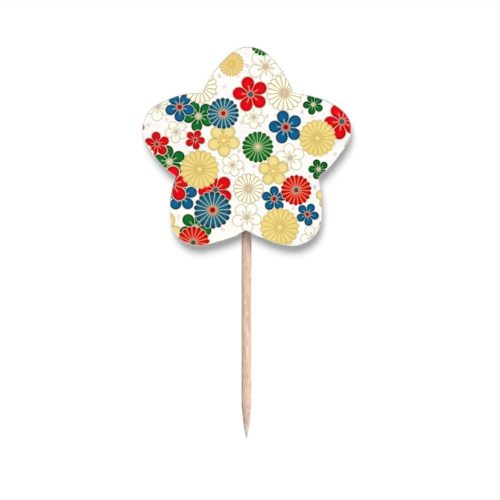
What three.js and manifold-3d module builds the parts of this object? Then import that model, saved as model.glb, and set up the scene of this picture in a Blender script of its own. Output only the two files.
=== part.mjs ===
// Flag toothpick: a die-cut star card glued to a round wooden pick.
// Units are millimetres and +Z is up. The origin is the pick's lower point, the pick runs up +Z,
// and the printed face of the card looks along -Y.
import * as THREE from "three";
import { mergeVertices } from "three/addons/utils/BufferGeometryUtils.js";
import Module from "manifold-3d";

const wasm = await Module();
wasm.setup();

// Wooden pick, pointed at both ends
const pickLength = 65;
const pickDiameter = 2;
const pointLength = 6.6;
const pointBluntness = 0.6; // below 1 the point swells like a bullet, at 1 it is a straight cone

// Star card
const lobeCount = 5;
const notchDistance = 14.83; // star's centre to the notch between two lobes
const lobeTipDistance = 15.55; // star's centre to the centre of a lobe's round tip
const lobeTipRadius = 5.5;
const lobeFlankRadius = 25; // long arc that runs from the round tip down to the notch
const cardThickness = 0.35;
const cardSpread = 1.012; // the cut star is this much wider than it is tall
const cardLean = 0.014; // sideways drift of the cut star for each millimetre of height

// How the two go together
const pickOverlap = 24; // pick's upper stretch, hidden behind the card above the lower notch
const pickStandoff = 0.45; // glue left between the card's back and the pick

// Glue bead
const glueWidth = 5.2;
const glueHeight = 1.75; // above the card's back
const glueLowerInset = 3; // bare card between the lower notch and the bead
const glueUpperInset = 2.5; // bare pick left above the bead
const glueClearance = 0.3; // between the bead's channel and the pick

// Fineness of the round shapes
const pickSides = 24;
const pointSteps = 8;
const tipSteps = 14;
const flankSteps = 8;
const beadSides = 32;
const beadEndSteps = 7;

// Places that follow from the sizes above
const pickRadius = pickDiameter / 2;
const notchHeight = pickLength - pickOverlap;
const starHeight = notchHeight + notchDistance;
const cardBack = -(pickRadius + pickStandoff);
const glueBottom = notchHeight + glueLowerInset;
const glueTop = pickLength - glueUpperInset;

const cardStock = new THREE.MeshStandardMaterial({
  name: "printed_card",
  color: 0xf6f2ea,
  roughness: 0.55,
  metalness: 0,
});
const birch = new THREE.MeshStandardMaterial({
  name: "pick_wood",
  color: 0xdfbba4,
  roughness: 0.75,
  metalness: 0,
});
const hotMelt = new THREE.MeshStandardMaterial({
  name: "hot_melt_glue",
  color: 0xe8e2d2,
  roughness: 0.35,
  metalness: 0,
});

// Unit vector at an angle
function spoke(angle) {
  return new THREE.Vector2(Math.cos(angle), Math.sin(angle));
}

// Points along an arc, from its first angle up to but not including its last
function arcPoints(centre, radius, from, to, steps) {
  const points = [];
  for (let i = 0; i < steps; i++) {
    const angle = from + ((to - from) * i) / steps;
    points.push(spoke(angle).multiplyScalar(radius).add(centre));
  }
  return points;
}

// One lobe that points up +Y, from its left notch round to just before its right notch.
// The flank arc touches the tip arc from inside, so the two meet without a corner.
function lobePoints() {
  const tip = new THREE.Vector2(0, lobeTipDistance);
  const notch = spoke(Math.PI / 2 - Math.PI / lobeCount).multiplyScalar(notchDistance);
  const apart = lobeFlankRadius - lobeTipRadius;
  const reach = tip.clone().sub(notch);
  const along = (reach.lengthSq() + apart ** 2 - lobeFlankRadius ** 2) / (2 * apart);
  const joinAngle = Math.atan2(reach.y, reach.x) - Math.acos(along / reach.length());
  const flankCentre = tip.clone().addScaledVector(spoke(joinAngle), -apart);
  const toNotch = notch.clone().sub(flankCentre);
  const notchAngle = Math.atan2(toNotch.y, toNotch.x);
  const mirrored = flankCentre.clone().setX(-flankCentre.x);
  return [
    ...arcPoints(mirrored, lobeFlankRadius, Math.PI - notchAngle, Math.PI - joinAngle, flankSteps),
    ...arcPoints(tip, lobeTipRadius, Math.PI - joinAngle, joinAngle, tipSteps),
    ...arcPoints(flankCentre, lobeFlankRadius, joinAngle, notchAngle, flankSteps),
  ];
}

// The whole star as one outline, drawn lobe by lobe
function starOutline() {
  const lobe = lobePoints();
  const origin = new THREE.Vector2();
  const points = [];
  for (let i = 0; i < lobeCount; i++) {
    const turn = (-2 * Math.PI * i) / lobeCount;
    points.push(...lobe.map((point) => point.clone().rotateAround(origin, turn)));
  }
  return new THREE.Shape(points);
}

// Flat card, stood upright with its back on y = 0 and its face towards -Y
function cardGeometry() {
  const geometry = new THREE.ExtrudeGeometry(starOutline(), { depth: cardThickness, bevelEnabled: false });
  geometry.applyMatrix4(
    new THREE.Matrix4().set(cardSpread, cardLean, 0, 0, 0, 1, 0, 0, 0, 0, 1, 0, 0, 0, 0, 1),
  );
  return geometry.rotateX(Math.PI / 2);
}

// Half profile of the pick: bullet point, straight shaft, bullet point
function pickProfile() {
  const lower = [];
  for (let i = 0; i <= pointSteps; i++) {
    const share = (i / pointSteps) ** 2; // steps crowd together where the point is bluntest
    lower.push(new THREE.Vector2(pickRadius * share ** pointBluntness, pointLength * share));
  }
  const upper = lower.map((point) => new THREE.Vector2(point.x, pickLength - point.y));
  return [...lower, ...upper.reverse()];
}

function pickGeometry() {
  return new THREE.LatheGeometry(pickProfile(), pickSides).rotateX(Math.PI / 2);
}

// Long rod with round ends, centred on the origin and lying along Z
function roundEndedRod(radius, length) {
  const profile = [];
  const straight = length / 2 - radius;
  for (let i = 0; i <= beadEndSteps; i++) {
    const angle = (Math.PI / 2) * (i / beadEndSteps);
    profile.push(new THREE.Vector2(radius * Math.sin(angle), -straight - radius * Math.cos(angle)));
  }
  const upper = profile.map((point) => new THREE.Vector2(point.x, -point.y)).reverse();
  return new THREE.LatheGeometry([...profile, ...upper], beadSides).rotateX(Math.PI / 2);
}

// A closed three.js geometry as a solid that can be cut
function solidFrom(geometry) {
  const bare = geometry.clone();
  bare.deleteAttribute("normal");
  bare.deleteAttribute("uv");
  const merged = mergeVertices(bare, 1e-5);
  return new wasm.Manifold(
    new wasm.Mesh({
      numProp: 3,
      vertProperties: new Float32Array(merged.attributes.position.array),
      triVerts: new Uint32Array(merged.index.array),
    }),
  );
}

// A cut solid back as a three.js geometry
function geometryFrom(solid) {
  const mesh = solid.getMesh();
  const geometry = new THREE.BufferGeometry();
  geometry.setAttribute("position", new THREE.BufferAttribute(mesh.vertProperties, 3));
  geometry.setIndex(new THREE.BufferAttribute(mesh.triVerts, 1));
  geometry.computeVertexNormals();
  return geometry;
}

// Flattened bead that stands on y = 0, with a channel along Z where the pick lies
function glueGeometry() {
  const length = glueTop - glueBottom;
  const flatten = glueHeight / (glueWidth / 2);
  const mound = roundEndedRod(glueWidth / 2, length).scale(1, flatten, 1);
  const card = new THREE.BoxGeometry(2 * glueWidth, 2 * glueHeight, 2 * length).translate(0, -glueHeight, 0);
  const channelRadius = pickRadius + glueClearance;
  const channel = new THREE.CylinderGeometry(channelRadius, channelRadius, 2 * length, pickSides);
  channel.rotateX(Math.PI / 2).translate(0, pickRadius + pickStandoff, 0);
  return geometryFrom(solidFrom(mound).subtract(solidFrom(card)).subtract(solidFrom(channel)));
}

function piece(name, geometry, material, y, z) {
  const mesh = new THREE.Mesh(geometry, material);
  mesh.name = name;
  mesh.position.set(0, y, z);
  return mesh;
}

const flagToothpick = new THREE.Group();
flagToothpick.add(
  piece("star_card", cardGeometry(), cardStock, cardBack, starHeight),
  piece("wooden_pick", pickGeometry(), birch, 0, 0),
  piece("glue_bead", glueGeometry(), hotMelt, cardBack, (glueBottom + glueTop) / 2),
);

export default flagToothpick;
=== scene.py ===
"""A flag toothpick: a die-cut star card, printed with chrysanthemums and plum blossoms, glued to a
round birch pick. Sizes are millimetres, and a finished mesh is in metres like the frame."""

import functools
import logging
import math
from collections.abc import Iterable
from dataclasses import dataclass, field
from enum import Enum
from typing import ClassVar

import bmesh
import bpy
from bmesh.types import BMEdge, BMesh, BMFace, BMVert
from bpy.types import Collection, Material, Node, NodeSocket, NodeTree, World
from mathutils import Matrix, Vector, noise


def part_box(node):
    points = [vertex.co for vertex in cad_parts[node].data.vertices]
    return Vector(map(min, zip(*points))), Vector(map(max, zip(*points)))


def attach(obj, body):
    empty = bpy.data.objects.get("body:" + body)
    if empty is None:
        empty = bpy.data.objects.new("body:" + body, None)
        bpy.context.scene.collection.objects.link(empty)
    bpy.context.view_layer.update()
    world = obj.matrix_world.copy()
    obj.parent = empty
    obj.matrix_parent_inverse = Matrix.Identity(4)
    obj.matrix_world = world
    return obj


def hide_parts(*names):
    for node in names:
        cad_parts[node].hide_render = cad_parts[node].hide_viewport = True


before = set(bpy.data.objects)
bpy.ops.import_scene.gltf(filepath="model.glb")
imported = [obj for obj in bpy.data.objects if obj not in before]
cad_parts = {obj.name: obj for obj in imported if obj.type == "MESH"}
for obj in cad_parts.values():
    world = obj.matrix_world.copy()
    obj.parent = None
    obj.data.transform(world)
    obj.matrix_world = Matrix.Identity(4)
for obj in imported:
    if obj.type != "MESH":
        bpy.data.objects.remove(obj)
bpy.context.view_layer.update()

log = logging.getLogger("flag_toothpick")

MM = 0.001
BODY = "root"
EDGE_MARK = "edge"
UNDERSIDE_MARK = "underside"
TOUCHING = 1e-5  # points that are closer than this become one
MEETING = 1e-4  # the same, where the stretches of a shape meet
LEVEL = 1e-6  # a point lies in a plane when it is closer to it than this
FACING = 0.99  # a face looks along an axis when its normal reaches this far along it

Triple = tuple[float, float, float]
Colour = tuple[float, float, float, float]

WHITE: Colour = (1.0, 1.0, 1.0, 1.0)


def ink(code: str) -> Colour:
    """Turn a colour as it is read off a screen into the linear colour that a shader wants.

    Args:
        code: Six hexadecimal digits: red, green and blue.

    Returns:
        The linear colour, with full alpha.
    """
    channels = [int(code[i : i + 2], 16) / 255 for i in (0, 2, 4)]
    linear = [c / 12.92 if c <= 0.04045 else ((c + 0.055) / 1.055) ** 2.4 for c in channels]
    return (*linear, 1.0)


@dataclass(frozen=True)
class Grain:
    """A cloudy noise between 0 and 1."""

    per_mm: float  # clouds to a millimetre
    detail: float = 2.0  # octaves of finer noise
    rough: float = 0.5  # strength of the finer noise
    stretch: Triple = (1.0, 1.0, 1.0)  # below 1 along an axis where the clouds are drawn out


@dataclass(frozen=True)
class Wash:
    """A colour that covers what is below it as a signal goes from a start to an end."""

    code: str
    start: float
    end: float
    strength: float = 1.0
    blend: str = "MIX"


class Graph:
    """A node tree with short calls for adding to it."""

    def __init__(self, tree: NodeTree) -> None:
        """Wrap the tree that gets the nodes."""
        self.tree = tree

    @classmethod
    def fresh(cls, owner: Material | World) -> "Graph":
        """Give a material or a world an empty node tree.

        Args:
            owner: The material or world.

        Returns:
            Its graph.
        """
        owner.use_nodes = True
        owner.node_tree.nodes.clear()
        return cls(owner.node_tree)

    def node(self, kind: str, settings: dict | None = None, values: dict | None = None) -> Node:
        """Add one node.

        Args:
            kind: The node's type.
            settings: Its properties, which are set first.
            values: A number, colour, signal or socket for each input, by its name or place.

        Returns:
            The new node.
        """
        node = self.tree.nodes.new(kind)
        for name, setting in (settings or {}).items():
            setattr(node, name, setting)
        for key, value in (values or {}).items():
            source = value.socket if isinstance(value, Signal) else value
            if isinstance(source, NodeSocket):
                self.tree.links.new(source, node.inputs[key])
            else:
                node.inputs[key].default_value = source
        return node

    def math(self, operation: str, *values: "Signal | float") -> "Signal":
        """Add one Math node with these inputs, and give its result."""
        node = self.node("ShaderNodeMath", {"operation": operation}, dict(enumerate(values)))
        return Signal(self, node.outputs[0])

    def mix(self, under: NodeSocket | Colour, over: NodeSocket | Colour, share: "Signal | float",
            blend: str = "MIX") -> NodeSocket:
        """Lay a share of one colour over another with a Mix node of this blend type."""
        settings = {"data_type": "RGBA", "blend_type": blend}
        return self.node("ShaderNodeMix", settings, {0: share, 6: under, 7: over}).outputs[2]

    def wash(self, under: NodeSocket | Colour, signal: "Signal", wash: Wash) -> NodeSocket:
        """Lay a wash that follows a signal over a colour."""
        share = signal.rise(wash.start, wash.end) * wash.strength
        return self.mix(under, ink(wash.code), share, wash.blend)

    def place(self, stretch: Triple = (1.0, 1.0, 1.0)) -> NodeSocket:
        """Give the place on the piece in millimetres.

        Args:
            stretch: A factor for each axis.

        Returns:
            The place as a vector socket.
        """
        spot = self.node("ShaderNodeTexCoord").outputs["Object"]
        factors = [factor / MM for factor in stretch]
        return self.node("ShaderNodeVectorMath", {"operation": "MULTIPLY"}, {0: spot, 1: factors}).outputs[0]

    def axis(self, number: int) -> "Signal":
        """Give the place on the piece along one axis in millimetres."""
        return Signal(self, self.node("ShaderNodeSeparateXYZ", None, {0: self.place()}).outputs[number])

    def attribute(self, name: str) -> "Signal":
        """Give a number that the piece's points carry."""
        return Signal(self, self.node("ShaderNodeAttribute", {"attribute_name": name}).outputs["Fac"])

    def grain(self, grain: Grain) -> "Signal":
        """Add a cloudy noise, which runs from 0 to 1."""
        values = {"Vector": self.place(grain.stretch), "Scale": grain.per_mm, "Detail": grain.detail,
                  "Roughness": grain.rough}
        return Signal(self, self.node("ShaderNodeTexNoise", None, values).outputs[0])

    def bump(self, height: "Signal", depth_mm: float) -> NodeSocket:
        """Turn a height from 0 to 1 into a normal with bumps of this depth."""
        return self.node("ShaderNodeBump", None, {"Height": height, "Distance": depth_mm * MM}).outputs[0]

    def rays(self, *kinds: str) -> "Signal":
        """Give 1 for a ray of one of these kinds, such as Camera or Glossy, and 0 for any other."""
        outputs = self.node("ShaderNodeLightPath").outputs
        return functools.reduce(Signal.most, (Signal(self, outputs[f"Is {kind} Ray"]) for kind in kinds))

    def surface(self, values: dict) -> None:
        """Add a Principled surface with these values and links."""
        shader = self.node("ShaderNodeBsdfPrincipled", None, values)
        self.node("ShaderNodeOutputMaterial", None, {"Surface": shader.outputs[0]})


class Signal:
    """A number that changes over a surface: a shader socket that Python arithmetic works on."""

    def __init__(self, graph: Graph, socket: NodeSocket) -> None:
        """Wrap the output socket that holds the number, in the graph that gets the Math nodes."""
        self.graph = graph
        self.socket = socket

    def __add__(self, other: "Signal | float") -> "Signal":
        """Add a number."""
        return self.graph.math("ADD", self, other)

    def __sub__(self, other: "Signal | float") -> "Signal":
        """Take a number away."""
        return self.graph.math("SUBTRACT", self, other)

    def __rsub__(self, other: float) -> "Signal":
        """Take this away from a number."""
        return self.graph.math("SUBTRACT", other, self)

    def __mul__(self, other: "Signal | float") -> "Signal":
        """Multiply by a number."""
        return self.graph.math("MULTIPLY", self, other)

    def __truediv__(self, other: "Signal | float") -> "Signal":
        """Divide by a number."""
        return self.graph.math("DIVIDE", self, other)

    def __rtruediv__(self, other: float) -> "Signal":
        """Divide a number by this."""
        return self.graph.math("DIVIDE", other, self)

    def __abs__(self) -> "Signal":
        """Drop the sign."""
        return self.graph.math("ABSOLUTE", self)

    __radd__ = __add__
    __rmul__ = __mul__

    def least(self, other: "Signal | float") -> "Signal":
        """Take the smaller of this and another."""
        return self.graph.math("MINIMUM", self, other)

    def most(self, other: "Signal | float") -> "Signal":
        """Take the larger of this and another."""
        return self.graph.math("MAXIMUM", self, other)

    def rise(self, start: float, end: float) -> "Signal":
        """Rise smoothly from 0 to 1.

        Args:
            start: Where it is still 0.
            end: Where it is 1. It may lie below the start.

        Returns:
            The share that has risen.
        """
        low, high = min(start, end), max(start, end)
        ends = (0.0, 1.0) if start < end else (1.0, 0.0)
        values = {"Value": self, "From Min": low, "From Max": high, "To Min": ends[0], "To Max": ends[1]}
        settings = {"interpolation_type": "SMOOTHSTEP", "clamp": False}
        return Signal(self.graph, self.graph.node("ShaderNodeMapRange", settings, values).outputs[0])


@dataclass(frozen=True)
class FlowerStyle:
    """How one kind of flower is printed. Shares are of the flower's radius, and inks are screen colours."""

    petals: int
    fullness: float  # how much of its sector a petal fills at the heart
    petal: str
    rim: str  # the petal towards its edge
    heart: str  # the petal towards the flower's centre
    line: str  # between the petals, and the stamens
    edge: str  # thin band round the petals
    ring: str
    eye: str
    edge_mm: float = 0.10
    line_reach: float = 0.62
    stamen_reach: float = 0.0  # none at 0
    eye_reach: float = 0.13
    ring_reach: float = 0.2
    glow_reach: float = 0.21  # the ring's colour fades out here
    gap_mm: float = 0.0  # half of the least gap between petals
    tips_from: float = 0.0  # petals darken from here to their tips, or at 0 all round their rim

    tips_to: ClassVar[float] = 0.98
    rim_from_mm: ClassVar[float] = 0.46
    rim_to_mm: ClassVar[float] = 0.1
    softness_mm: ClassVar[float] = 0.06
    heart_from: ClassVar[float] = 0.5
    heart_to: ClassVar[float] = 0.22
    stamen_slope: ClassVar[float] = 0.09
    stamen_fade: ClassVar[tuple[float, float]] = (0.04, -0.06)  # past its reach, from none to full
    stamen_strength: ClassVar[float] = 0.85

    def group(self, name: str) -> NodeTree:
        """Build the node group that draws such a flower over what is printed below it.

        Args:
            name: The group's name.

        Returns:
            The group. Its inputs are the colour below, the place across and up, and the flower's own
            place, radius and turn, and its output is the colour.
        """
        tree = bpy.data.node_groups.new(name, "ShaderNodeTree")
        tree.interface.new_socket(name="Under", in_out="INPUT", socket_type="NodeSocketColor")
        for label in ("Across", "Up", "Flower Across", "Flower Up", "Radius", "Turn"):
            tree.interface.new_socket(name=label, in_out="INPUT", socket_type="NodeSocketFloat")
        tree.interface.new_socket(name="Colour", in_out="OUTPUT", socket_type="NodeSocketColor")
        graph = Graph(tree)
        given = graph.node("NodeGroupInput").outputs
        across, up, flower_across, flower_up, radius, turn = (Signal(graph, socket) for socket in given[1:7])
        right = (across - flower_across) / radius
        high = (up - flower_up) / radius
        colour = self._draw(graph, given[0], right, high, radius, turn)
        graph.node("NodeGroupOutput", None, {0: colour})
        return tree

    def _draw(self, graph: Graph, under: NodeSocket, right: Signal, high: Signal, radius: Signal,
              turn: Signal) -> NodeSocket:
        """Draw the flower.

        Args:
            graph: The group's graph.
            under: The colour below.
            right: The place's distance to the right of the flower's centre, as a share of the radius.
            high: Its height above that centre, likewise.
            radius: The flower's radius.
            turn: How far one petal is turned clockwise from upright, in radians.

        Returns:
            The colour with the flower on it.
        """
        reach = graph.math("SQRT", right * right + high * high)
        sector = math.pi / self.petals
        bearing = abs(graph.math("WRAP", graph.math("ARCTAN2", right, high) - turn, sector, -sector))
        along = reach * graph.math("COSINE", bearing)
        aside = reach * graph.math("SINE", bearing)
        outside = self._outside(graph, along, aside) * radius + self.gap_mm

        soft = self.softness_mm
        colour = graph.mix(under, ink(self.edge), outside.rise(self.edge_mm + soft, self.edge_mm - soft))
        lined = ((reach - self.line_reach) * radius).rise(soft, -soft)
        colour = graph.mix(colour, ink(self.line), lined)

        if self.tips_from:
            dark = reach.rise(self.tips_from, self.tips_to)
        else:
            dark = outside.rise(-self.rim_from_mm, -self.rim_to_mm)
        petal = graph.mix(ink(self.petal), ink(self.rim), dark)
        petal = graph.mix(petal, ink(self.heart), reach.rise(self.heart_from, self.heart_to))
        if self.stamen_reach:
            stamen = ((aside - along * self.stamen_slope) * radius).rise(soft, -soft)
            start, end = (self.stamen_reach + fade for fade in self.stamen_fade)
            stamen = stamen * along.rise(start, end) * self.stamen_strength
            petal = graph.mix(petal, ink(self.line), stamen)
        colour = graph.mix(colour, petal, outside.rise(soft, -soft))

        colour = graph.mix(colour, ink(self.ring), reach.rise(self.glow_reach, self.ring_reach))
        eye = ((reach - self.eye_reach) * radius).rise(soft, -soft)
        return graph.mix(colour, ink(self.eye), eye)

    def _outside(self, graph: Graph, along: Signal, aside: Signal) -> Signal:
        """Measure how far a place lies outside the nearest petal, which is drop-shaped.

        Args:
            graph: The group's graph.
            along: The place along the petal's axis, as a share of the radius.
            aside: The place beside that axis, likewise.

        Returns:
            The distance as a share of the radius, negative inside the petal.
        """
        half_angle = self.fullness * math.pi / self.petals
        sine, cosine = math.sin(half_angle), math.cos(half_angle)
        tip_radius = sine / (1 + sine)
        tip_at = 1 / (1 + sine)
        shoulder = tip_at * cosine**2
        ahead = along - tip_at
        tip = graph.math("SQRT", ahead * ahead + aside * aside) - tip_radius
        side = (aside * cosine - along * sine).most(along - shoulder)
        return tip.least(side)


class Style(Enum):
    """The kinds of flower on the sheet: plum blossoms and chrysanthemums."""

    RED_PLUM = FlowerStyle(5, 0.9, "e8000e", "8e0206", "cc1814", "ff8672", "ffbeaa", "bc8a7c", "3e555a",
                           edge_mm=0.17, eye_reach=0.142, glow_reach=0.24, stamen_reach=0.5)
    DARK_RED_PLUM = FlowerStyle(5, 0.9, "e6020e", "8e0006", "dc0a0c", "ff8274", "ffbeac", "c68470", "561c12",
                                edge_mm=0.15, glow_reach=0.26, stamen_reach=0.46)
    BLUE_PLUM = FlowerStyle(5, 0.9, "0a6292", "062c42", "1a5868", "90c4cc", "bcdcdc", "c4857a", "960c04",
                            eye_reach=0.15, glow_reach=0.34, stamen_reach=0.5)
    GREEN_PLUM = FlowerStyle(5, 0.9, "087026", "022c08", "125620", "94ca8e", "c8e2bc", "b4bc90", "cfcca8",
                             eye_reach=0.15, ring_reach=0.19, glow_reach=0.28, stamen_reach=0.5)
    YELLOW_PLUM = FlowerStyle(5, 0.94, "efdd90", "e6cc7a", "eed27c", "c2a656", "cbb678", "dcc46e", "f8dc8c",
                              edge_mm=0.16, stamen_reach=0.42)
    WHITE_PLUM = FlowerStyle(5, 0.94, "fffef8", "fbf8e4", "f4eed6", "c2b492", "c6b998", "dac9ae", "cfbfa6",
                             edge_mm=0.12, eye_reach=0.15, ring_reach=0.16, glow_reach=0.24,
                             stamen_reach=0.52)
    BLUE_MUM = FlowerStyle(18, 0.92, "1c5c72", "12303a", "5a6a50", "98c8d0", "bcdcd6", "d6986c", "b00c00",
                           line_reach=0.92, eye_reach=0.145, ring_reach=0.18, glow_reach=0.34, gap_mm=0.055,
                           tips_from=0.7)
    RED_MUM = FlowerStyle(18, 0.92, "d00a04", "8c0a06", "bc3220", "ff785c", "ffc8b0", "c69072", "424640",
                          line_reach=0.92, eye_reach=0.142, ring_reach=0.19, glow_reach=0.38, gap_mm=0.065,
                          tips_from=0.7)
    GREEN_MUM = FlowerStyle(18, 0.92, "1c6a20", "1a4212", "486a24", "88c884", "c8e2bc", "b6b082", "dccfac",
                            line_reach=0.92, eye_reach=0.12, ring_reach=0.16, glow_reach=0.37, gap_mm=0.055,
                            tips_from=0.7)
    YELLOW_MUM = FlowerStyle(18, 0.92, "eed784", "e9d07c", "e8cc74", "cfb05e", "d6be7c", "dec070", "fade8c",
                             line_reach=0.92, edge_mm=0.14, eye_reach=0.1, ring_reach=0.16, glow_reach=0.4,
                             gap_mm=0.04, tips_from=0.8)
    CREAM_MUM = FlowerStyle(18, 0.92, "fdf9e5", "fcf5da", "f4e8c2", "b3a476", "b8aa80", "d2bc90", "dfc6a4",
                            line_reach=0.92, edge_mm=0.12, eye_reach=0.1, ring_reach=0.13, glow_reach=0.38,
                            gap_mm=0.045, tips_from=0.8)
    FADED_MUM = FlowerStyle(22, 0.9, "e2c26a", "dcbe7c", "deb858", "f2e2b0", "ebdbb2", "e0bd60", "efd080",
                            line_reach=0.94, edge_mm=0.12, eye_reach=0.1, ring_reach=0.16, glow_reach=0.5,
                            gap_mm=0.03, tips_from=0.7)


@dataclass(frozen=True)
class Flower:
    """One printed flower. Its place is counted in millimetres from the star's centre."""

    style: Style
    across: float
    up: float
    radius: float
    turn: float  # degrees clockwise from upright


# The printed sheet, from the flower that lies lowest to the one on top
FLOWERS = [
    Flower(Style.CREAM_MUM, 21.9, 1.1, 2.7, 0),
    Flower(Style.WHITE_PLUM, 3.75, 17.1, 3.35, 31),
    Flower(Style.GREEN_MUM, 3.27, 21.75, 2.55, 17.5),
    Flower(Style.CREAM_MUM, 7.45, 11.95, 3.55, 16),
    Flower(Style.FADED_MUM, -2.95, 17.65, 2.45, 6),
    Flower(Style.WHITE_PLUM, 8.55, -0.8, 2.8, -7),
    Flower(Style.WHITE_PLUM, 1.4, 7.2, 2.15, 34),
    Flower(Style.WHITE_PLUM, -2.75, -2.2, 2.15, 17),
    Flower(Style.WHITE_PLUM, -17.4, 9.3, 2.75, 40),
    Flower(Style.WHITE_PLUM, -13.75, 4.35, 2.15, 43),
    Flower(Style.WHITE_PLUM, 13.12, -16.4, 2.47, 45),
    Flower(Style.YELLOW_PLUM, 16.08, -8.4, 2.37, -4),
    Flower(Style.YELLOW_PLUM, -16.6, -15.32, 3.98, 24),
    Flower(Style.DARK_RED_PLUM, -22.1, 5.25, 2.05, 90),
    Flower(Style.DARK_RED_PLUM, 16.5, -13.8, 2.15, -90),
    Flower(Style.GREEN_PLUM, -9.4, 7.4, 3.06, 46),
    Flower(Style.YELLOW_PLUM, -4.5, 2.65, 3.1, 32),
    Flower(Style.GREEN_PLUM, -15.1, -1.5, 3.2, 62),
    Flower(Style.RED_PLUM, 18.7, 6.36, 3.52, 48),
    Flower(Style.GREEN_PLUM, 13.1, 9.7, 2.03, 50),
    Flower(Style.GREEN_PLUM, 14.15, -3.0, 2.0, -18),
    Flower(Style.BLUE_PLUM, 11.95, -11.85, 2.25, 28),
    Flower(Style.RED_PLUM, 0.8, 11.7, 3.48, -14),
    Flower(Style.BLUE_PLUM, 7.7, 5.25, 3.32, -15),
    Flower(Style.YELLOW_MUM, 13.9, 3.1, 3.55, 8.6),
    Flower(Style.YELLOW_PLUM, 5.3, -3.35, 2.9, -2),
    Flower(Style.GREEN_MUM, 2.2, 1.35, 3.12, 8),
    Flower(Style.BLUE_PLUM, 5.45, -8.8, 2.5, 0),
    Flower(Style.YELLOW_MUM, 6.5, -14.4, 3.77, 4),
    Flower(Style.RED_MUM, 9.75, -7.1, 3.07, 2),
    Flower(Style.BLUE_PLUM, -13.1, 9.2, 2.88, 36),
    Flower(Style.CREAM_MUM, -9.1, 13.18, 3.28, 10),
    Flower(Style.BLUE_MUM, -4.55, 7.95, 3.13, -2.5),
    Flower(Style.DARK_RED_PLUM, -10.1, 2.8, 1.94, 25),
    Flower(Style.DARK_RED_PLUM, -17.55, 1.9, 2.46, -6),
    Flower(Style.CREAM_MUM, -21.6, -0.85, 3.6, 10),
    Flower(Style.BLUE_PLUM, -12.72, -8.15, 3.1, 71),
    Flower(Style.RED_PLUM, -14.5, -5.93, 3.55, 2),
    Flower(Style.RED_PLUM, -6.05, -7.1, 3.4, 50),
    Flower(Style.GREEN_PLUM, -10.05, -14.5, 3.22, 31),
    Flower(Style.YELLOW_MUM, -9.2, -3.0, 3.75, 13.6),
    Flower(Style.BLUE_MUM, -6.65, -11.0, 3.73, -2),
    Flower(Style.RED_MUM, -10.45, -17.4, 3.28, 4),
    Flower(Style.CREAM_MUM, 0.4, -6.8, 2.95, 0),
    Flower(Style.WHITE_PLUM, 0.05, -12.4, 2.87, 32),
]

# Loose pale petals in the gaps, across and up from the star's centre
LOOSE_PETALS = [
    (-5.3, 15.3), (-4.4, 13.2), (0.1, 17.3), (-1.7, 15.3), (-6.0, 11.8), (-1.0, 6.2), (4.0, 7.4),
    (5.8, 7.6), (10.9, 8.2), (12.9, 7.3), (2.6, 5.6), (17.4, 0.0), (1.5, -2.4), (-0.6, -3.0),
    (-1.5, 0.6), (12.4, -4.5), (13.4, -6.5), (9.2, -10.7), (-4.7, -14.8), (-13.3, -12.4),
    (-19.2, 5.7), (-15.7, 6.7), (-12.0, 5.2), (-10.9, 0.4),
]


def new_material(name: str) -> tuple[Material, Graph]:
    """Start a material, and give it with its empty graph."""
    material = bpy.data.materials.new(name)
    return material, Graph.fresh(material)


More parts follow.
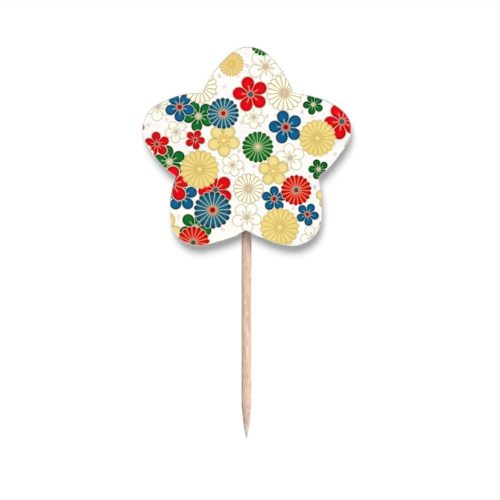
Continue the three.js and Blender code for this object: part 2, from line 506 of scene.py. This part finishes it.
@dataclass(frozen=True)
class PrintedSheet:
    """The finish of the card's face: offset inks on white paper, under a thin satin varnish."""

    paper: str = "fdfbf6"
    loose_petals: tuple[str, str] = ("eadce3", "f4e4e0")
    petal_length: float = 0.5
    petal_width: float = 0.36
    petal_fade: tuple[float, float] = (1.4, 0.4)  # from none to full, in squared shares of its size
    turn_between_petals: float = 67.0  # degrees from one loose petal to the next
    mottle: Grain = Grain(1.6, 3.0)
    shade: Wash = Wash("e6e6e6", 0.45, 0.8, 0.3, "MULTIPLY")
    rim_shade: str = "b2afb6"  # painted shade along the print's rim, where an edge faces up
    rim_light: str = "e2e0dc"  # painted highlight along the print's rim, where an edge faces down and the band is wider
    narrowing: float = 0.1  # share of the band that an upper edge leaves out
    roughness: float = 0.42
    roughness_swing: float = 0.12
    shine: float = 0.03  # kept low, because the photo shows no gloss
    fibre: Grain = Grain(9.0, 3.0, 0.6, (1.0, 1.0, 0.55))
    fibre_depth: float = 0.004

    def material(self, centre: Vector) -> Material:
        """Build the printed finish.

        Args:
            centre: The star's centre in millimetres.

        Returns:
            The material.
        """
        material, graph = new_material("printed_sheet")
        across = graph.axis(0) - centre.x
        up = graph.axis(2) - centre.z
        colour = self._scatter(graph, across, up)
        colour = self._flowers(graph, colour, across, up)
        mottle = graph.grain(self.mottle)
        colour = graph.wash(colour, mottle, self.shade)
        # The print's outermost band: painted shade at an upper edge and painted highlight at a lower edge,
        # by how far the edge looks down
        mark, underside = (graph.attribute(name) for name in (EDGE_MARK, UNDERSIDE_MARK))
        start = (1 - underside) * self.narrowing
        rim_paint_share = ((mark - start) / (1 - start)).most(0.0)
        colour = graph.mix(colour, graph.mix(ink(self.rim_shade), ink(self.rim_light), underside), rim_paint_share)
        graph.surface({
            "Base Color": colour,
            "Roughness": self.roughness + (mottle - 0.5) * self.roughness_swing,
            "Specular IOR Level": self.shine,
            "Normal": graph.bump(graph.grain(self.fibre), self.fibre_depth),
        })
        return material

    def _scatter(self, graph: Graph, across: Signal, up: Signal) -> NodeSocket:
        """Strew the loose petals on the paper.

        Args:
            graph: The material's graph.
            across: The place's distance to the right of the star's centre.
            up: The place's height above it.

        Returns:
            The colour.
        """
        colour: NodeSocket | Colour = ink(self.paper)
        for count, (petal_across, petal_up) in enumerate(LOOSE_PETALS):
            turn = math.radians(count * self.turn_between_petals)
            right = across - petal_across
            high = up - petal_up
            along = (right * math.sin(turn) + high * math.cos(turn)) / self.petal_length
            aside = (right * math.cos(turn) - high * math.sin(turn)) / self.petal_width
            petal = ink(self.loose_petals[count % len(self.loose_petals)])
            colour = graph.mix(colour, petal, (along * along + aside * aside).rise(*self.petal_fade))
        return colour

    @staticmethod
    def _flowers(graph: Graph, colour: NodeSocket, across: Signal, up: Signal) -> NodeSocket:
        """Print the flowers one over the other.

        Args:
            graph: The material's graph.
            colour: The colour of the sheet below them.
            across: The place's distance to the right of the star's centre.
            up: The place's height above it.

        Returns:
            The colour.
        """
        groups = {style: style.value.group(style.name.lower()) for style in Style}
        for flower in FLOWERS:
            values = {
                "Under": colour,
                "Across": across,
                "Up": up,
                "Flower Across": flower.across,
                "Flower Up": flower.up,
                "Radius": flower.radius,
                "Turn": math.radians(flower.turn),
            }
            colour = graph.node("ShaderNodeGroup", {"node_tree": groups[flower.style]}, values).outputs[0]
        return colour


@dataclass(frozen=True)
class BareBoard:
    """The finish of the card's back and cut edge: uncoated white board."""

    light: str = "f6f4f0"
    plies: Grain = Grain(0.9, 4.0, 0.6, (1.0, 22.0, 1.0))
    ply_wash: Wash = Wash("e6e3dc", 0.4, 0.75, 0.55)
    fibres: Grain = Grain(8.0, 3.0, 0.7, (1.0, 1.0, 0.3))
    fibre_wash: Wash = Wash("e6e3dc", 0.5, 0.75, 0.6)
    crushed_and_shaded: Wash = Wash("b4b1b5", 0.13, 0.1)  # follows the depth: grey where the die has rolled the edge over, partly the crushed board and partly painted shade along the cut edge
    roughness: float = 0.82
    roughness_swing: float = 0.12
    shine: float = 0.2
    ply_share: float = 0.5  # of the plies in the bump
    bump_depth: float = 0.012

    def material(self, front: float) -> Material:
        """Build the board's finish.

        Args:
            front: The board's front face along Y, in millimetres.

        Returns:
            The material.
        """
        material, graph = new_material("bare_board")
        plies = graph.grain(self.plies)
        fibres = graph.grain(self.fibres)
        colour = graph.wash(ink(self.light), plies, self.ply_wash)
        colour = graph.wash(colour, fibres, self.fibre_wash)
        # Grey along the rolled front edge: crushed board, and painted shade along the cut edge
        colour = graph.wash(colour, graph.axis(1) - front, self.crushed_and_shaded)
        graph.surface({
            "Base Color": colour,
            "Roughness": self.roughness + fibres * self.roughness_swing,
            "Specular IOR Level": self.shine,
            "Normal": graph.bump(plies * self.ply_share + fibres, self.bump_depth),
        })
        return material


@dataclass(frozen=True)
class Birch:
    """The finish of the pick: raw birch, tumbled smooth, with its grain along the stick."""

    middle: str = "ddbaa5"
    bands: Grain = Grain(1.7, 3.0, 0.55, (1.0, 1.0, 0.045))
    band_wash: Wash = Wash("efd2bf", 0.42, 0.7)
    streaks: Grain = Grain(5.0, 3.0, 0.6, (1.0, 1.0, 0.03))
    streak_wash: Wash = Wash("be9885", 0.46, 0.68, 0.65)
    mottle: Grain = Grain(1.1, 3.0, 0.65, (1.0, 1.0, 0.5))
    dark_mottle: Wash = Wash("be9885", 0.5, 0.68, 0.5)
    light_mottle: Wash = Wash("efd2bf", 0.48, 0.32, 0.8)
    pores: Grain = Grain(9.0, 1.0, 0.4, (1.0, 1.0, 0.08))
    pore_wash: Wash = Wash("926856", 0.62, 0.72, 0.6)
    patches: Grain = Grain(0.12, 2.0, 0.5, (0.4, 0.4, 1.0))
    patch_wash: Wash = Wash("efd2bf", 0.45, 0.75, 0.35)
    cut: Wash = Wash("e0d8d1", 3.4, 0.8, 0.85)  # cut grain, by the distance to the nearer point
    roughness: float = 0.45
    roughness_swing: float = 0.2
    shine: float = 0.3
    sheen: float = 0.25
    sheen_roughness: float = 0.5
    streak_share: float = 0.7  # of the streaks in the bump
    band_share: float = 0.5  # of the bands in it
    pore_share: float = 0.5  # of the pores, which are dents
    pore_rim: tuple[float, float] = (0.66, 0.76)  # where a dent starts, and where it is full
    bump_depth: float = 0.03

    def material(self, length: float) -> Material:
        """Build the wood's finish.

        Args:
            length: The pick's length in millimetres.

        Returns:
            The material.
        """
        material, graph = new_material("raw_birch")
        bands = graph.grain(self.bands)
        streaks = graph.grain(self.streaks)
        pores = graph.grain(self.pores)
        mottle = graph.grain(self.mottle)
        height = graph.axis(2)
        colour = graph.wash(ink(self.middle), bands, self.band_wash)
        colour = graph.wash(colour, streaks, self.streak_wash)
        colour = graph.wash(colour, mottle, self.dark_mottle)
        colour = graph.wash(colour, mottle, self.light_mottle)
        colour = graph.wash(colour, pores, self.pore_wash)
        colour = graph.wash(colour, graph.grain(self.patches), self.patch_wash)
        colour = graph.wash(colour, height.least(length - height), self.cut)
        dents = pores.rise(*self.pore_rim) * self.pore_share
        graph.surface({
            "Base Color": colour,
            "Roughness": self.roughness + streaks * self.roughness_swing,
            "Specular IOR Level": self.shine,
            "Sheen Weight": self.sheen,
            "Sheen Roughness": self.sheen_roughness,
            "Normal": graph.bump(streaks * self.streak_share + bands * self.band_share - dents,
                                 self.bump_depth),
        })
        return material


@dataclass(frozen=True)
class HotMelt:
    """The finish of the glue: milky hot melt with a soft sheen."""

    clear: str = "f1e8d4"
    clouds: Grain = Grain(0.9, 3.0)
    milk: Wash = Wash("faf6ea", 0.4, 0.65)
    skin: Grain = Grain(3.0, 2.0, 0.5, (1.0, 1.0, 0.4))
    roughness: float = 0.2
    roughness_swing: float = 0.2
    depth_share: float = 0.25  # of the light that comes back from below the skin
    light_reach: Triple = (0.9, 0.8, 0.6)  # how deep red, green and blue go
    light_scale: float = 0.8
    bump_depth: float = 0.035

    def material(self) -> Material:
        """Build the glue's finish.

        Returns:
            The material.
        """
        material, graph = new_material("hot_melt")
        skin = graph.grain(self.skin)
        graph.surface({
            "Base Color": graph.wash(ink(self.clear), graph.grain(self.clouds), self.milk),
            "Roughness": self.roughness + skin * self.roughness_swing,
            "Subsurface Weight": self.depth_share,
            "Subsurface Radius": [reach * MM for reach in self.light_reach],
            "Subsurface Scale": self.light_scale,
            "Normal": graph.bump(skin, self.bump_depth),
        })
        return material


@dataclass(frozen=True)
class Ripple:
    """A smooth unevenness that is worked into a shape."""

    across: float  # how fast it changes sideways
    along: float  # how fast it changes along Z
    offset: float = 0.0  # along Z, so that two ripples differ

    def at(self, x: float, y: float, z: float) -> float:
        """Give its value at a place, from -1 to 1."""
        return noise.noise(Vector((x * self.across, y * self.across, z * self.along + self.offset)))


def only(kind: type, items: Iterable) -> list:
    """Pick the points, edges or faces out of what an operator gives back."""
    return [item for item in items if isinstance(item, kind)]


def smooth(faces: Iterable[BMFace]) -> None:
    """Shade faces smooth."""
    for face in faces:
        face.smooth = True


def tube(radius: float, sides: int, heights: list[float]) -> BMesh:
    """Build an open tube round Z.

    Args:
        radius: Its radius.
        sides: The points of each ring.
        heights: The heights of its rings, of which the first is 0.

    Returns:
        The tube.
    """
    mesh = bmesh.new()
    bmesh.ops.create_circle(mesh, segments=sides, radius=radius)
    ring = mesh.edges[:]
    for height in heights[1:]:
        grown = bmesh.ops.extrude_edge_only(mesh, edges=ring)["geom"]
        ring = only(BMEdge, grown)
        for vert in only(BMVert, grown):
            vert.co.z = height
    return mesh


def finish_piece(name: str, mesh: BMesh, material: Material, node: str) -> None:
    """Turn a bmesh in millimetres into a finished piece on the frame.

    Args:
        name: The piece's name.
        mesh: Its shape, which is used up.
        material: Its finish.
        node: The CAD node that it stands for.
    """
    bmesh.ops.remove_doubles(mesh, verts=mesh.verts, dist=TOUCHING)
    bmesh.ops.recalc_face_normals(mesh, faces=mesh.faces)
    bmesh.ops.scale(mesh, vec=(MM, MM, MM), verts=mesh.verts)
    data = bpy.data.meshes.new(name)
    mesh.to_mesh(data)
    mesh.free()
    data.materials.append(material)
    piece = bpy.data.objects.new(name, data)
    bpy.context.scene.collection.objects.link(piece)
    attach(piece, BODY)
    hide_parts(node)
    log.info("%s: %d faces", name, len(data.polygons))


@dataclass(frozen=True)
class Drift:
    """A stretch of the outline where the cut strays from the plain star."""

    bearing: float  # degrees clockwise from the top, seen from the front
    spread: float  # how far it reaches to either side, in degrees
    outwards: float  # millimetres


@dataclass
class StarCard:
    """The die-cut star card: a board with a printed sheet on its front."""

    front: float  # the printed face along Y
    back: float  # the bare face along Y
    top: float
    lobes: int = 5
    notch_distance: float = 14.83  # from the star's centre
    tip_distance: float = 15.55  # from there to the centre of a lobe's round tip
    tip_radius: float = 5.5
    flank_radius: float = 25.0
    spread: float = 1.012  # the star is this much wider than it is tall
    lean: float = 0.014  # to the side, for each millimetre of height
    sheet_thickness: float = 0.03
    sheet_inset: float = 0.03  # bare board left round the print
    sheet_rounding: float = 0.018
    rim_paint_width: float = 0.2  # the print's outermost band, which carries the painted shade and highlight
    upper_slope: float = 0.25  # an edge that faces up by more than this is an upper one
    lower_slope: float = -0.1  # and a lower one by less than this
    rolled_edge: float = 0.1
    back_edge: float = 0.03
    rounding_steps: int = 4
    clearance: float = 0.01  # kept inside the card's box
    tip_steps: int = 30
    flank_steps: int = 20
    map_share: float = 0.98  # of the bake map, filled by the printed face
    hidden_share: float = 0.1  # and by the face that is glued to the board
    map_margin: float = 0.01
    drifts: tuple[Drift, ...] = (
        Drift(24, 11, 0.36), Drift(64, 6, -0.26), Drift(130, 9, 0.16), Drift(163, 9, 0.12),
        Drift(187, 7, 0.26), Drift(251, 8, -0.34), Drift(311, 10, 0.4), Drift(334, 6, 0.1),
        Drift(350, 5, -0.14),
    )
    sheet_finish: PrintedSheet = field(default_factory=PrintedSheet)
    board_finish: BareBoard = field(default_factory=BareBoard)

    @property
    def centre(self) -> Vector:
        """Give the star's centre."""
        return Vector((0, 0, self.top - self.tip_distance - self.tip_radius))

    def build(self) -> None:
        """Build and dress the printed sheet and the board."""
        joint = self.front + self.sheet_thickness
        sheet = self._plate(self.front, joint, self.sheet_inset)
        self._round_edge(sheet, self.front, self.sheet_rounding)
        self._mark_edge(sheet)
        self._lay_out_sheet(sheet, joint)
        finish_piece("star_print", sheet, self.sheet_finish.material(self.centre), "star_card")
        board = self._plate(joint, self.back, self.clearance)
        self._round_edge(board, joint, self.rolled_edge)
        self._round_edge(board, self.back, self.back_edge)
        finish_piece("star_board", board, self.board_finish.material(joint), "star_card")

    def _outline(self, mesh: BMesh) -> None:
        """Draw the star's outline on the plane y = 0, round the origin, as a closed ring of edges.

        Args:
            mesh: The empty mesh that gets it.
        """
        half = math.pi / self.lobes
        tip = Vector((0, 0, self.tip_distance))
        notch = Vector((math.sin(half), 0, math.cos(half))) * self.notch_distance
        apart = self.flank_radius - self.tip_radius
        reach = tip - notch
        along = (reach.length_squared + apart**2 - self.flank_radius**2) / (2 * apart)
        join = math.atan2(reach.z, reach.x) - math.acos(along / reach.length)
        flank = tip - Vector((math.cos(join), 0, math.sin(join))) * apart
        notch_angle = math.atan2(notch.z - flank.z, notch.x - flank.x)
        left_flank = Vector((-flank.x, 0, flank.z))
        turns = [
            (left_flank, join - notch_angle, self.flank_steps),
            (tip, math.pi - 2 * join, self.tip_steps),
            (flank, join - notch_angle, self.flank_steps),
        ]
        pen = [mesh.verts.new((-notch.x, 0, notch.z))]
        for cent, angle, steps in turns:
            turned = bmesh.ops.spin(mesh, geom=pen, cent=cent, axis=(0, 1, 0), angle=angle, steps=steps)
            pen = only(BMVert, turned["geom_last"])
        lobe = mesh.verts[:] + mesh.edges[:]
        last = 2 * math.pi * (self.lobes - 1) / self.lobes
        bmesh.ops.spin(mesh, geom=lobe, cent=(0, 0, 0), axis=(0, 1, 0), angle=last,
                       steps=self.lobes - 1, use_duplicate=True)
        bmesh.ops.remove_doubles(mesh, verts=mesh.verts, dist=MEETING)

    def _plate(self, front: float, back: float, inset: float) -> BMesh:
        """Build a flat plate in the star's outline.

        Args:
            front: Its front face along Y.
            back: Its back face along Y.
            inset: How far its edge stays inside the card's.

        Returns:
            The plate in its place.
        """
        mesh = bmesh.new()
        self._outline(mesh)
        cut = Matrix(((self.spread, 0, self.lean, 0), (0, 1, 0, 0), (0, 0, 1, 0), (0, 0, 0, 1)))
        cut.translation = Vector((self.centre.x, front, self.centre.z))
        bmesh.ops.transform(mesh, matrix=cut, verts=mesh.verts)
        for vert in mesh.verts:
            self._stray(vert)
        bmesh.ops.contextual_create(mesh, geom=mesh.edges[:])
        rim = bmesh.ops.inset_region(mesh, faces=mesh.faces[:], thickness=inset, use_boundary=True,
                                     use_even_offset=True)
        bmesh.ops.delete(mesh, geom=rim["faces"], context="FACES")
        grown = bmesh.ops.extrude_face_region(mesh, geom=mesh.faces[:])
        bmesh.ops.translate(mesh, vec=(0, back - front, 0), verts=only(BMVert, grown["geom"]))
        bmesh.ops.recalc_face_normals(mesh, faces=mesh.faces)
        return mesh

    def _stray(self, vert: BMVert) -> None:
        """Move a point of the outline out or in to where the die has cut.

        Args:
            vert: The point.
        """
        spoke = vert.co - Vector((self.centre.x, vert.co.y, self.centre.z))
        bearing = math.degrees(math.atan2(spoke.x, spoke.z))
        for drift in self.drifts:
            apart = (bearing - drift.bearing + 180) % 360 - 180
            vert.co += spoke.normalized() * drift.outwards * math.exp(-((apart / drift.spread) ** 2))

    def _round_edge(self, mesh: BMesh, level: float, radius: float) -> None:
        """Round the edge all round one face of a plate, and leave the face itself flat.

        Args:
            mesh: The plate.
            level: The face's place along Y.
            radius: How far the rounding reaches.
        """
        edges = [edge for edge in mesh.edges if all(abs(vert.co.y - level) < LEVEL for vert in edge.verts)]
        made = bmesh.ops.bevel(mesh, geom=edges, offset=radius, offset_type="OFFSET",
                               segments=self.rounding_steps, profile=0.5, affect="EDGES", material=-1,
                               clamp_overlap=True)
        smooth(made["faces"])

    def _mark_edge(self, mesh: BMesh) -> None:
        """Mark the sheet's outermost band, which carries painted shade and highlight, from 0 inside to 1 at
        its edge, and how far each edge looks down.

        Args:
            mesh: The sheet.
        """
        for name in (EDGE_MARK, UNDERSIDE_MARK):
            mesh.verts.layers.float.new(name)
        mark, underside = (mesh.verts.layers.float[name] for name in (EDGE_MARK, UNDERSIDE_MARK))
        face = max((face for face in mesh.faces if face.normal.y < -FACING), key=BMFace.calc_area)
        bmesh.ops.inset_region(mesh, faces=[face], thickness=self.rim_paint_width, use_boundary=True,
                               use_even_offset=True)
        mesh.normal_update()
        inner = set(face.verts)
        for vert in mesh.verts:
            beside = [edge.other_vert(vert) for edge in vert.link_edges]
            outer = next(other for other in beside if other not in inner) if vert in inner else vert
            upwards = Vector((outer.normal.x, outer.normal.z)).normalized().y
            lowered = (self.upper_slope - upwards) / (self.upper_slope - self.lower_slope)
            vert[mark] = 0.0 if vert in inner else 1.0
            vert[underside] = min(1.0, max(0.0, lowered))

    def _lay_out_sheet(self, mesh: BMesh, hidden: float) -> None:
        """Give the sheet a bake map that its printed face fills, with its hidden face small in a corner.

        Args:
            mesh: The sheet.
            hidden: The hidden face's place along Y.
        """
        layer = mesh.loops.layers.uv.new("OFBake")
        low = Vector((min(vert.co.x for vert in mesh.verts), min(vert.co.z for vert in mesh.verts)))
        high = Vector((max(vert.co.x for vert in mesh.verts), max(vert.co.z for vert in mesh.verts)))
        side = max(high - low)
        margin = Vector((self.map_margin, self.map_margin))
        for face in mesh.faces:
            buried = all(abs(vert.co.y - hidden) < LEVEL for vert in face.verts)
            share = self.hidden_share if buried else self.map_share
            for loop in face.loops:
                spot = Vector((loop.vert.co.x - low.x, loop.vert.co.z - low.y)) / side
                loop[layer].uv = spot * share + margin


@dataclass
class Toothpick:
    """The round pick, pointed at both ends, which stands on z = 0."""

    length: float
    radius: float
    point_length: float = 6.6
    bluntness: float = 0.6
    point_steps: int = 22
    shaft_steps: int = 60
    sides: int = 72
    groove: float = 0.022  # depth of the grain's furrows
    furrows: Ripple = Ripple(4.2, 0.05)
    fine_furrows: Ripple = Ripple(11.0, 0.12, 40.0)
    fine_share: float = 0.35  # of the fine furrows in the depth
    full_from: float = 0.5  # share of the radius from which the furrows are at their full depth
    finish: Birch = field(default_factory=Birch)

    def build(self) -> None:
        """Build and dress the pick."""
        mesh = tube(self.radius, self.sides, self._heights())
        for vert in mesh.verts:
            self._carve(vert)
        bmesh.ops.remove_doubles(mesh, verts=mesh.verts, dist=TOUCHING)
        smooth(mesh.faces)
        finish_piece("round_pick", mesh, self.finish.material(self.length), "wooden_pick")

    def _heights(self) -> list[float]:
        """List the heights of the rings, from the lower point to the upper one.

        Returns:
            The heights in millimetres.
        """
        point = [self.point_length * (i / self.point_steps) ** 2 for i in range(self.point_steps + 1)]
        straight = self.length - 2 * self.point_length
        shaft = [self.point_length + straight * i / self.shaft_steps for i in range(1, self.shaft_steps)]
        return point + shaft + [self.length - rise for rise in reversed(point)]

    def _carve(self, vert: BMVert) -> None:
        """Draw a point of the tube in to the pick's profile, with fine furrows along the grain.

        Args:
            vert: The point, which stands on the full radius.
        """
        to_end = min(vert.co.z, self.length - vert.co.z)
        taper = min(1.0, max(0.0, to_end / self.point_length)) ** self.bluntness
        bearing = Vector((vert.co.x, vert.co.y, 0)).normalized()
        furrow = self.furrows.at(bearing.x, bearing.y, vert.co.z)
        fine = self.fine_furrows.at(bearing.x, bearing.y, vert.co.z)
        depth = self.groove * (0.5 + 0.5 * furrow + self.fine_share * fine)
        reach = self.radius * taper - max(0.0, depth) * min(1.0, taper / self.full_from)
        vert.co.x = bearing.x * max(reach, 0.0)
        vert.co.y = bearing.y * max(reach, 0.0)


@dataclass
class GlueBead:
    """The bead of hot-melt glue that holds the pick to the card's back."""

    base: float  # the card's back along Y
    low: float
    high: float
    width: float
    height: float
    pick_radius: float
    sides: int = 64
    steps: int = 72
    unevenness: float = 0.16  # of the bead's edge, as a share of its width
    waviness: float = 0.05  # of its surface, likewise
    wander: Ripple = Ripple(1.0, 0.45)
    wander_at: tuple[float, float] = (0.3, 0.2)  # where it is read for the right edge, mirrored for the left
    waves: Ripple = Ripple(0.8, 1.1, 9.0)
    gap: float = 0.01  # left between the glue and the pick
    finish: HotMelt = field(default_factory=HotMelt)

    def build(self) -> None:
        """Build and dress the bead."""
        mesh = tube(self.width / 2, self.sides, [step / self.steps for step in range(self.steps + 1)])
        for vert in mesh.verts:
            self._shape(vert)
        bmesh.ops.remove_doubles(mesh, verts=mesh.verts, dist=MEETING)
        cut = bmesh.ops.bisect_plane(mesh, geom=mesh.verts[:] + mesh.edges[:] + mesh.faces[:],
                                     dist=TOUCHING, plane_co=(0, self.base, 0), plane_no=(0, -1, 0),
                                     clear_outer=True)
        bmesh.ops.contextual_create(mesh, geom=only(BMEdge, cut["geom_cut"]))
        smooth(mesh.faces)
        for vert in mesh.verts:
            self._make_room(vert)
        finish_piece("hot_glue", mesh, self.finish.material(), "glue_bead")

    def _shape(self, vert: BMVert) -> None:
        """Move a point of the tube to the bead's surface, which is a rod with round ends, squeezed flat.

        Args:
            vert: The point, with its height as a share of the length.
        """
        end = self.width / 2
        half = (self.high - self.low) / 2
        height = -half * math.cos(math.pi * vert.co.z)
        past = max(0.0, abs(height) - (half - end)) / end
        size = math.sqrt(max(0.0, 1 - past**2))
        side, row = self.wander_at
        wander = self.wander.at(math.copysign(side, vert.co.x), row, height)
        wave = self.waves.at(vert.co.x, vert.co.y, height)
        size *= 1 - self.unevenness * (0.5 + 0.5 * wander) - self.waviness * (0.5 + 0.5 * wave)
        vert.co.x *= size
        vert.co.y = self.base + vert.co.y * size * self.height / end
        vert.co.z = (self.low + self.high) / 2 + height

    def _make_room(self, vert: BMVert) -> None:
        """Press a point that lies inside the pick down to the pick's underside.

        Args:
            vert: The point.
        """
        room = self.pick_radius + self.gap
        if abs(vert.co.x) < room:
            vert.co.y = min(vert.co.y, -math.sqrt(room**2 - vert.co.x**2))


class Group(Enum):
    """The things that a lamp can be linked to, by their objects' names."""

    CARD = ("star_print", "star_board")
    STICK = ("round_pick", "hot_glue")
    STAGE = ("floor", "backdrop")


CARD = (Group.CARD,)
STICK = (Group.STICK,)
BOTH = (Group.CARD, Group.STICK)


@dataclass(frozen=True)
class Lamp:
    """A soft lamp, far away."""

    name: str
    towards: Triple  # the direction in which it hangs
    level: float  # the share of full brightness that it gives a white face turned to it
    spread: float  # how wide it looks, in degrees
    lit: tuple[Group, ...]
    blocked_by: tuple[Group, ...]

    def hang(self) -> None:
        """Hang the lamp, and link it to what it lights and to what casts its shadow."""
        data = bpy.data.lights.new(self.name, "SUN")
        data.energy = math.pi * self.level
        data.angle = math.radians(self.spread)
        lamp = bpy.data.objects.new(self.name, data)
        lamp.rotation_euler = Vector(self.towards).to_track_quat("Z", "Y").to_euler()
        bpy.context.scene.collection.objects.link(lamp)
        lamp.light_linking.receiver_collection = self._gather("lit_by", self.lit)
        lamp.light_linking.blocker_collection = self._gather("shading", self.blocked_by)

    def _gather(self, use: str, groups: tuple[Group, ...]) -> Collection:
        """Put groups of objects in a collection of their own.

        Args:
            use: What the lamp does with them.
            groups: The groups.

        Returns:
            The collection.
        """
        collection = bpy.data.collections.new(f"{use}_{self.name}")
        for name in (name for group in groups for name in group.value):
            collection.objects.link(bpy.data.objects[name])
        return collection


KEY = Lamp("key", (-0.15, -1.0, 0.54), 0.71, 32, (Group.CARD, Group.STAGE), CARD)
LAMPS = (
    KEY,
    Lamp("front_fill", (0.1, -1.0, 0.1), 0.28, 100, CARD, CARD),
    Lamp("card_left", (-1.0, 0.0, 0.15), 0.45, 60, CARD, CARD),
    Lamp("card_right", (1.0, 0.0, 0.15), 0.45, 60, CARD, CARD),
    Lamp("pick_top", (0.5, -1.0, 2.7), 1.55, 14, STICK, BOTH),
    Lamp("pick_left", (-1.7, -1.0, 0.0), 0.38, 50, STICK, CARD),
    Lamp("pick_front", (-0.4, -1.0, 0.0), 0.12, 60, STICK, CARD),
    Lamp("pick_right", (2.2, -1.0, 0.0), 0.36, 60, STICK, BOTH),
    Lamp("pick_low", (0.2, -0.3, -1.0), 0.35, 60, STICK, STICK),
    Lamp("rear_key", (-0.5, 1.0, 0.7), 0.68, 30, BOTH, BOTH),
    Lamp("rear_fill", (0.3, 1.0, 0.2), 0.4, 110, BOTH, BOTH),
    Lamp("rear_stick", (0.5, 1.0, 0.4), 0.3, 40, STICK, BOTH),
)


@dataclass(frozen=True)
class WhitePaint:
    """The finish of the floor and the backdrop: matt white, and see-through from behind."""

    glow: float  # brightness that only the camera and reflections see
    lets_light_by: bool  # whether lamps shine through

    def material(self, name: str) -> Material:
        """Build the paint.

        Args:
            name: The material's name.

        Returns:
            The material.
        """
        material, graph = new_material(name)
        seen = graph.rays("Camera", "Glossy")
        paint = graph.node("ShaderNodeBsdfDiffuse", None, {"Color": WHITE})
        light = graph.node("ShaderNodeEmission", None, {"Color": WHITE, "Strength": seen * self.glow})
        lit = graph.node("ShaderNodeAddShader", None, {0: paint.outputs[0], 1: light.outputs[0]})
        hole = graph.node("ShaderNodeBsdfTransparent")
        gone = Signal(graph, graph.node("ShaderNodeNewGeometry").outputs["Backfacing"])
        if self.lets_light_by:
            gone = gone.most(graph.rays("Shadow"))
        mixed = graph.node("ShaderNodeMixShader", None, {0: gone, 1: lit.outputs[0], 2: hole.outputs[0]})
        graph.node("ShaderNodeOutputMaterial", None, {"Surface": mixed.outputs[0]})
        return material


@dataclass
class Studio:
    """The floor, backdrop, lights and camera."""

    seen_width: float = 98.04  # of the frame, at the card's face
    seen_across: float = 0.69  # middle of the frame
    seen_height: float = 37.0  # likewise
    lens: float = 250.0
    sensor: float = 36.0
    sight_metres: float = 100.0  # how far the camera sees
    behind: float = 1.06  # backdrop along Y
    stage_size: float = 600.0
    white_level: float = 1.005  # brightness of the floor and backdrop where nothing shades them

    def build(self, face: float) -> None:
        """Set up the studio.

        Args:
            face: The printed face along Y, where the frame's width is measured.
        """
        self._world()
        self._camera(face)
        key = Vector(KEY.towards).normalized() * KEY.level
        self._stage("floor", Matrix.Identity(4), WhitePaint(self.white_level - key.z, False))
        upright = Matrix.Rotation(math.pi / 2, 4, "X")
        upright.translation = Vector((0, self.behind, self.stage_size / 2))
        self._stage("backdrop", upright, WhitePaint(self.white_level + key.y, True))
        for lamp in LAMPS:
            lamp.hang()
        for name in Group.CARD.value + Group.STICK.value:
            bpy.data.objects[name].visible_diffuse = False

    @staticmethod
    def _world() -> None:
        """Make the world white to look at, without lighting anything."""
        world = bpy.data.worlds.new("white_room")
        bpy.context.scene.world = world
        graph = Graph.fresh(world)
        seen = graph.rays("Camera", "Glossy", "Transmission")
        sky = graph.node("ShaderNodeBackground", None, {"Color": WHITE, "Strength": seen})
        graph.node("ShaderNodeOutputWorld", None, {"Surface": sky.outputs[0]})

    def _camera(self, face: float) -> None:
        """Place the camera at the photograph's viewing angle.

        Args:
            face: The printed face along Y.
        """
        data = bpy.data.cameras.new("camera")
        data.lens = self.lens
        data.sensor_width = self.sensor
        data.clip_end = self.sight_metres
        camera = bpy.data.objects.new("camera", data)
        distance = self.seen_width * self.lens / self.sensor
        camera.location = Vector((self.seen_across, face - distance, self.seen_height)) * MM
        camera.rotation_euler = (math.pi / 2, 0, 0)
        bpy.context.scene.collection.objects.link(camera)
        bpy.context.scene.camera = camera

    def _stage(self, name: str, place: Matrix, paint: WhitePaint) -> None:
        """Build a plane of the stage.

        Args:
            name: Its name.
            place: Where it lies, with its front along its own Z.
            paint: Its finish.
        """
        mesh = bmesh.new()
        bmesh.ops.create_grid(mesh, x_segments=2, y_segments=2, size=self.stage_size / 2)
        bmesh.ops.transform(mesh, matrix=Matrix.Scale(MM, 4) @ place, verts=mesh.verts)
        data = bpy.data.meshes.new(name)
        mesh.to_mesh(data)
        mesh.free()
        data.materials.append(paint.material(f"white_{name}"))
        plane = bpy.data.objects.new(name, data)
        plane.visible_diffuse = False
        bpy.context.scene.collection.objects.link(plane)


def main() -> None:
    """Build the object's pieces and the studio round them."""
    logging.basicConfig(level=logging.INFO, format="%(name)s: %(message)s")
    bpy.context.scene.view_settings.view_transform = "Standard"
    card_low, card_high = (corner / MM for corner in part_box("star_card"))
    pick_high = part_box("wooden_pick")[1] / MM
    glue_low, glue_high = (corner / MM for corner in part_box("glue_bead"))
    glue_size = glue_high - glue_low
    StarCard(card_low.y, card_high.y, card_high.z).build()
    Toothpick(pick_high.z, pick_high.y).build()
    GlueBead(card_high.y, glue_low.z, glue_high.z, glue_size.x, glue_size.y, pick_high.y).build()
    Studio().build(card_low.y)


if __name__ == "__main__":
    main()
